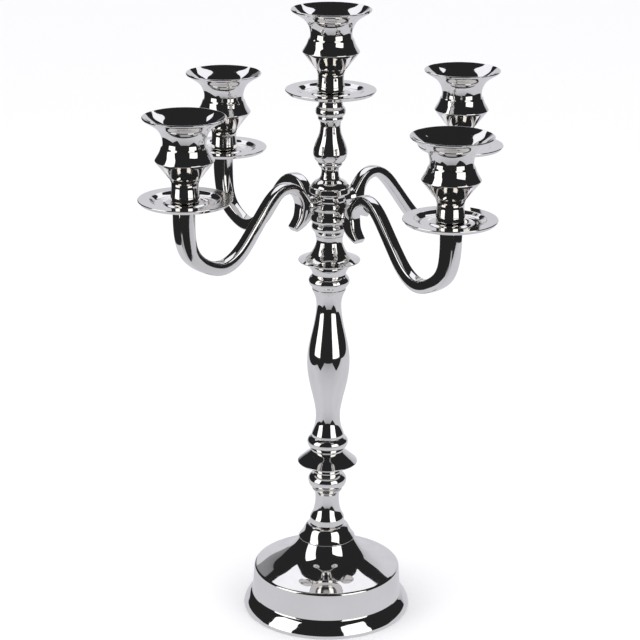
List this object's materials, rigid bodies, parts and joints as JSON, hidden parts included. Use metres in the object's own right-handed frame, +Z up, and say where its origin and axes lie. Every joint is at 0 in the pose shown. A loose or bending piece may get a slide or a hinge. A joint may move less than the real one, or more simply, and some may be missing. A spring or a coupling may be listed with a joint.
{
  "type": "candelabrum",
  "caption": "Table candelabrum in polished nickel: turned stem on a round flared foot, S-curved arms, flared candle cups on drip pans that unscrew.",
  "frame": {"origin": "centre of the foot's underside, on the table", "axes": "+Z up along the stem; the higher pair of arms lies along X and the lower pair along Y"},
  "size_m": [0.2788, 0.2788, 0.4],
  "materials": {
    "polished_nickel": "bright nickel plate, buffed to a mirror, slightly warm",
    "zinc_steel": "zinc-plated threaded rod and nuts, satin",
    "felt": "black wool felt"
  },
  "bodies": {
    "stem": {"felt_pad": "felt", "foot_shell": "polished_nickel", "foot_washer": "zinc_steel", "foot_nut": "zinc_steel", "tie_rod": "zinc_steel", "collar": "polished_nickel", "lower_stem": "polished_nickel", "knop": "polished_nickel", "baluster": "polished_nickel"},
    "flange": {"flange": "polished_nickel"},
    "branches": {"hub": "polished_nickel", "hub_stud": "zinc_steel", "cross_stud_x": "zinc_steel", "cross_stud_y": "zinc_steel", "column": "polished_nickel", "arm_right": "polished_nickel", "arm_back": "polished_nickel", "arm_left": "polished_nickel", "arm_front": "polished_nickel", "cup_stud_right": "zinc_steel", "cup_stud_back": "zinc_steel", "cup_stud_left": "zinc_steel", "cup_stud_front": "zinc_steel", "cup_stud_centre": "zinc_steel"},
    "pan_right": {"drip_pan_right": "polished_nickel"},
    "cup_right": {"candle_cup_right": "polished_nickel"},
    "pan_back": {"drip_pan_back": "polished_nickel"},
    "cup_back": {"candle_cup_back": "polished_nickel"},
    "pan_left": {"drip_pan_left": "polished_nickel"},
    "cup_left": {"candle_cup_left": "polished_nickel"},
    "pan_front": {"drip_pan_front": "polished_nickel"},
    "cup_front": {"candle_cup_front": "polished_nickel"},
    "pan_centre": {"drip_pan_centre": "polished_nickel"},
    "cup_centre": {"candle_cup_centre": "polished_nickel"}
  },
  "joints": [
    {"name": "branches_turn", "type": "hinge", "parent": "stem", "child": "flange", "pos_m": [0, 0, 0.2393], "axis": [0, 0, 1], "range_deg": [0, 2880]},
    {"name": "branches_lift", "type": "slide", "parent": "flange", "child": "branches", "axis": [0, 0, 1], "range_m": [0, 0.01001]},
    {"name": "cup_right_turn", "type": "hinge", "parent": "branches", "child": "pan_right", "pos_m": [0.111, 0, 0.2955], "axis": [0, 0, 1], "range_deg": [0, 2880]},
    {"name": "cup_right_lift", "type": "slide", "parent": "pan_right", "child": "cup_right", "axis": [0, 0, 1], "range_m": [0, 0.00801]},
    {"name": "cup_back_turn", "type": "hinge", "parent": "branches", "child": "pan_back", "pos_m": [0, 0.111, 0.2891], "axis": [0, 0, 1], "range_deg": [0, 2880]},
    {"name": "cup_back_lift", "type": "slide", "parent": "pan_back", "child": "cup_back", "axis": [0, 0, 1], "range_m": [0, 0.00801]},
    {"name": "cup_left_turn", "type": "hinge", "parent": "branches", "child": "pan_left", "pos_m": [-0.111, 0, 0.2955], "axis": [0, 0, 1], "range_deg": [0, 2880]},
    {"name": "cup_left_lift", "type": "slide", "parent": "pan_left", "child": "cup_left", "axis": [0, 0, 1], "range_m": [0, 0.00801]},
    {"name": "cup_front_turn", "type": "hinge", "parent": "branches", "child": "pan_front", "pos_m": [0, -0.111, 0.2891], "axis": [0, 0, 1], "range_deg": [0, 2880]},
    {"name": "cup_front_lift", "type": "slide", "parent": "pan_front", "child": "cup_front", "axis": [0, 0, 1], "range_m": [0, 0.00801]},
    {"name": "cup_centre_turn", "type": "hinge", "parent": "branches", "child": "pan_centre", "pos_m": [0, 0, 0.347], "axis": [0, 0, 1], "range_deg": [0, 2880]},
    {"name": "cup_centre_lift", "type": "slide", "parent": "pan_centre", "child": "cup_centre", "axis": [0, 0, 1], "range_m": [0, 0.00801]}
  ],
  "couplings": [
    {"joint": "branches_lift", "follows": "branches_turn", "m_per_rad": 0.00019894},
    {"joint": "cup_right_lift", "follows": "cup_right_turn", "m_per_rad": 0.00015915},
    {"joint": "cup_back_lift", "follows": "cup_back_turn", "m_per_rad": 0.00015915},
    {"joint": "cup_left_lift", "follows": "cup_left_turn", "m_per_rad": 0.00015915},
    {"joint": "cup_front_lift", "follows": "cup_front_turn", "m_per_rad": 0.00015915},
    {"joint": "cup_centre_lift", "follows": "cup_centre_turn", "m_per_rad": 0.00015915}
  ]
}
